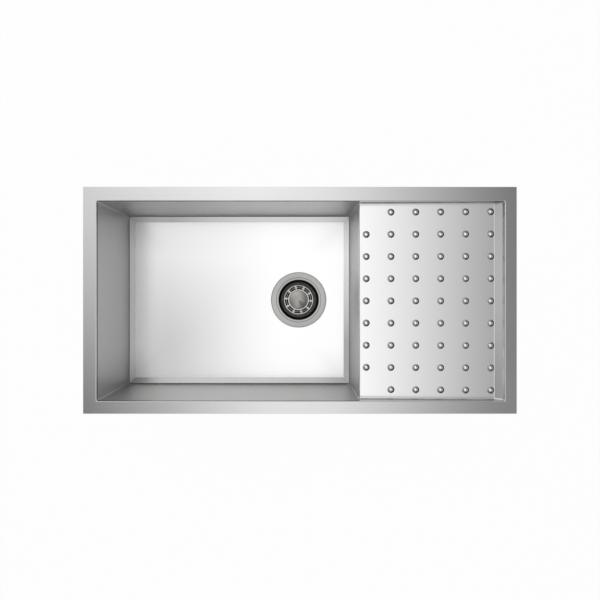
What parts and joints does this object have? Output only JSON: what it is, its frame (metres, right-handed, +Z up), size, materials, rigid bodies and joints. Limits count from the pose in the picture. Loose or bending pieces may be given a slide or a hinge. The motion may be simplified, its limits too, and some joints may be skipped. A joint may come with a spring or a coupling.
{
  "type": "kitchen_sink",
  "caption": "Drop-in stainless steel kitchen sink with a square-cornered bowl, a domed drainboard and a basket strainer waste",
  "frame": {"origin": "plan centre of the rim, on the worktop plane at the underside of the rim seal", "axes": "+X along the length towards the drainboard, +Y to the back edge, +Z up"},
  "size_m": [0.86, 0.45, 0.3564],
  "materials": {
    "satin_steel": "satin",
    "foam_seal": "matte",
    "sound_pad_rubber": "matte",
    "zinc_steel": "zinc plated",
    "turned_steel": "turned, satin",
    "knob_steel": "turned, fine rings",
    "post_steel": "turned",
    "black_rubber": "matte",
    "fibre_washer": "matte",
    "cast_nut": "satin plated",
    "white_plastic": "matte"
  },
  "bodies": {
    "sink": {"deck_frame": "satin_steel", "bowl_shell": "satin_steel", "drainboard_panel": "satin_steel", "drainboard_brace_inner": "satin_steel", "drainboard_brace_outer": "satin_steel", "rim_seal": "foam_seal", "back_wall_pad": "sound_pad_rubber", "front_wall_pad": "sound_pad_rubber", "left_wall_pad": "sound_pad_rubber", "right_wall_pad": "sound_pad_rubber", "floor_pad": "sound_pad_rubber", "drainboard_pad": "sound_pad_rubber", "rim_studs": "zinc_steel", "clip_nuts": "zinc_steel", "strainer_body": "turned_steel", "tailpiece": "turned_steel", "post_guide": "turned_steel", "flange_gasket": "black_rubber", "underside_gasket": "black_rubber", "friction_washer": "fibre_washer", "locknut": "cast_nut", "coupling_nut": "cast_nut", "tailpiece_washer": "white_plastic"},
    "stopper": {"basket_post": "post_steel", "stopper_plate": "post_steel", "stopper_seal": "black_rubber", "stopper_nut": "post_steel"},
    "basket": {"strainer_basket": "turned_steel", "basket_knob": "knob_steel"},
    "claw_back_left": {"claw_back_left": "zinc_steel"},
    "claw_back_middle": {"claw_back_middle": "zinc_steel"},
    "claw_back_right": {"claw_back_right": "zinc_steel"},
    "claw_front_left": {"claw_front_left": "zinc_steel"},
    "claw_front_middle": {"claw_front_middle": "zinc_steel"},
    "claw_front_right": {"claw_front_right": "zinc_steel"},
    "claw_left": {"claw_left": "zinc_steel"},
    "claw_right": {"claw_right": "zinc_steel"}
  },
  "joints": [
    {"name": "basket_lift", "type": "slide", "parent": "sink", "child": "stopper", "axis": [0, 0, 1], "range_m": [0, 0.28]},
    {"name": "basket_turn", "type": "hinge", "parent": "stopper", "child": "basket", "pos_m": [0, -0.0015, -0.222], "axis": [0, 0, 1], "continuous": true},
    {"name": "claw_back_left_swing", "type": "hinge", "parent": "sink", "child": "claw_back_left", "pos_m": [-0.2985, 0.2044, -0.048], "axis": [0, 0, 1], "range_deg": [0, 90]},
    {"name": "claw_back_middle_swing", "type": "hinge", "parent": "sink", "child": "claw_back_middle", "pos_m": [0.0015, 0.2044, -0.048], "axis": [0, 0, 1], "range_deg": [0, 90]},
    {"name": "claw_back_right_swing", "type": "hinge", "parent": "sink", "child": "claw_back_right", "pos_m": [0.3015, 0.2044, -0.048], "axis": [0, 0, 1], "range_deg": [0, 90]},
    {"name": "claw_front_left_swing", "type": "hinge", "parent": "sink", "child": "claw_front_left", "pos_m": [-0.2985, -0.2074, -0.048], "axis": [0, 0, 1], "range_deg": [0, 90]},
    {"name": "claw_front_middle_swing", "type": "hinge", "parent": "sink", "child": "claw_front_middle", "pos_m": [0.0015, -0.2074, -0.048], "axis": [0, 0, 1], "range_deg": [0, 90]},
    {"name": "claw_front_right_swing", "type": "hinge", "parent": "sink", "child": "claw_front_right", "pos_m": [0.3015, -0.2074, -0.048], "axis": [0, 0, 1], "range_deg": [0, 90]},
    {"name": "claw_left_swing", "type": "hinge", "parent": "sink", "child": "claw_left", "pos_m": [-0.4109, -0.0015, -0.048], "axis": [0, 0, 1], "range_deg": [0, 90]},
    {"name": "claw_right_swing", "type": "hinge", "parent": "sink", "child": "claw_right", "pos_m": [0.4139, -0.0015, -0.048], "axis": [0, 0, 1], "range_deg": [0, 90]}
  ]
}
